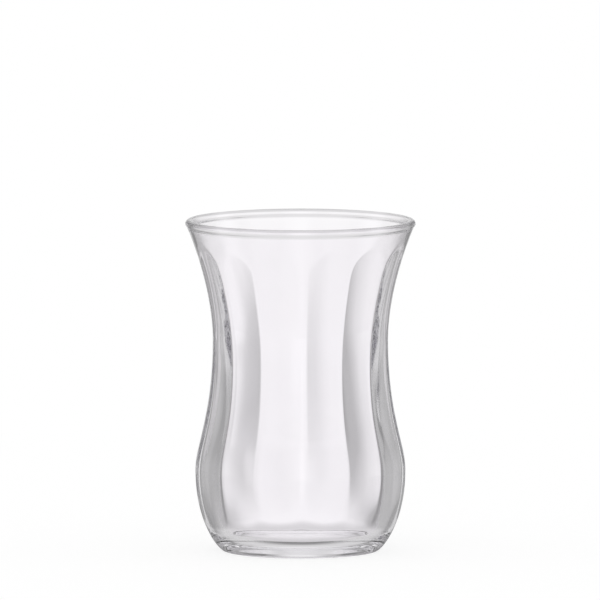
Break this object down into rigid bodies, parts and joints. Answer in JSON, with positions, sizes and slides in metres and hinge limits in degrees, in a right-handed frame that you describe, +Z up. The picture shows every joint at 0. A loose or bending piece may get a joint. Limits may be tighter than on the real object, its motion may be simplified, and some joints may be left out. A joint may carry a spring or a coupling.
{
  "type": "chai glass",
  "caption": "Clear waisted tea glass with a flared mouth, rounded rim, rounded belly, thick wall and foot, and shallow arched panels on the inside.",
  "frame": {"origin": "centre of the standing ring, on the surface that the glass stands on", "axes": "+Z up along the glass's axis, from the foot to the mouth; +X and +Y across it, with the picture's camera on the -Y side"},
  "size_m": [0.062, 0.062, 0.0894],
  "materials": {
    "clear_glass": "fire-polished clear"
  },
  "bodies": {
    "root": {"tea_glass": "clear_glass"}
  },
  "joints": []
}
